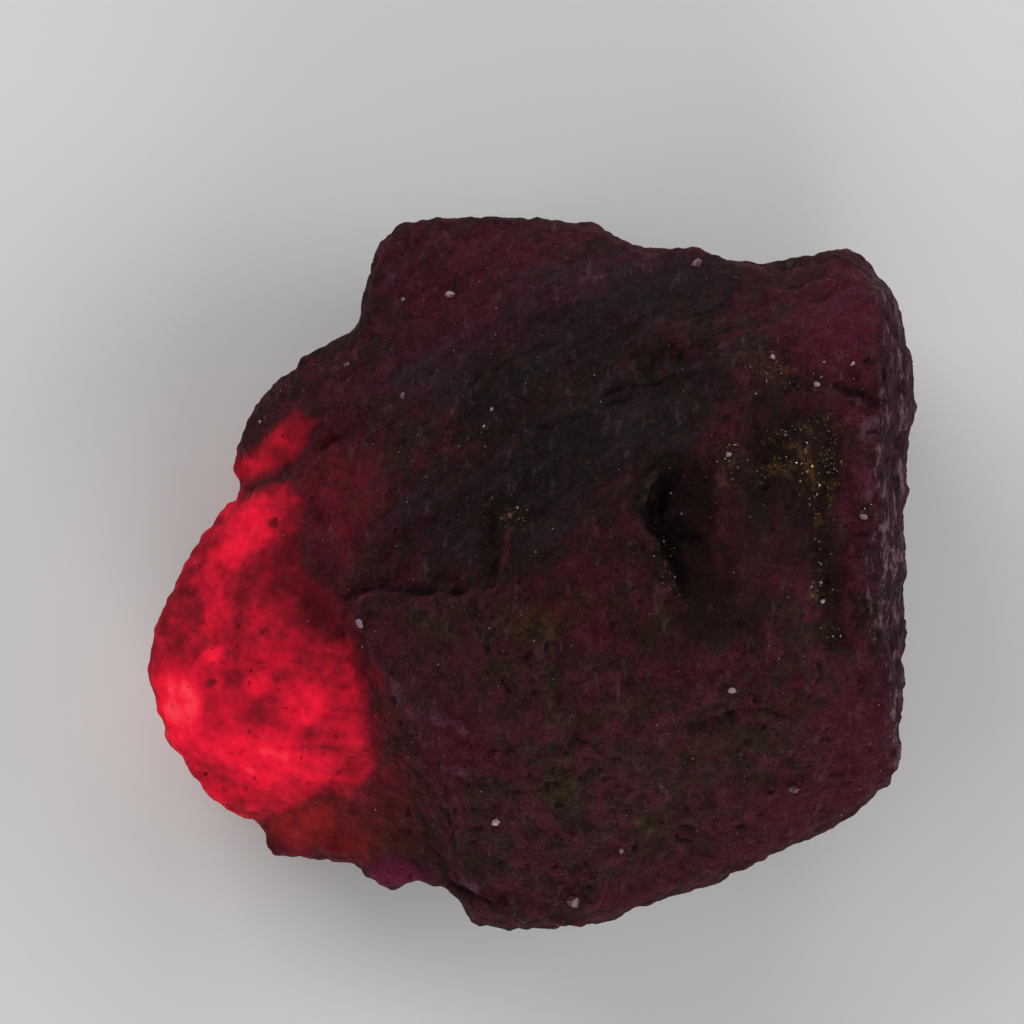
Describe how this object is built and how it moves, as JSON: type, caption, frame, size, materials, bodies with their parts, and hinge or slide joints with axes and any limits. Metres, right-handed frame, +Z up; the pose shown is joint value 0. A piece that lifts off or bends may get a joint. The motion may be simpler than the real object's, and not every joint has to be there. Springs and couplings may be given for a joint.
{
  "type": "raw ruby crystal",
  "caption": "Rough dark maroon ruby lump with a crest, a banded face, a hollow and a low rounded lobe, resting on a flat fracture.",
  "frame": {"origin": "on the resting face, under the middle of the stone's box", "axes": "+X along the longest side, from the lobe towards the right face; +Y towards the straight back edge; +Z up from the resting face"},
  "size_m": [0.0524, 0.0488, 0.0295],
  "materials": {
    "ruby": "rough broken stone, dull to waxy, glittering where there is mica"
  },
  "bodies": {
    "root": {"ruby_crystal": "ruby"}
  },
  "joints": []
}
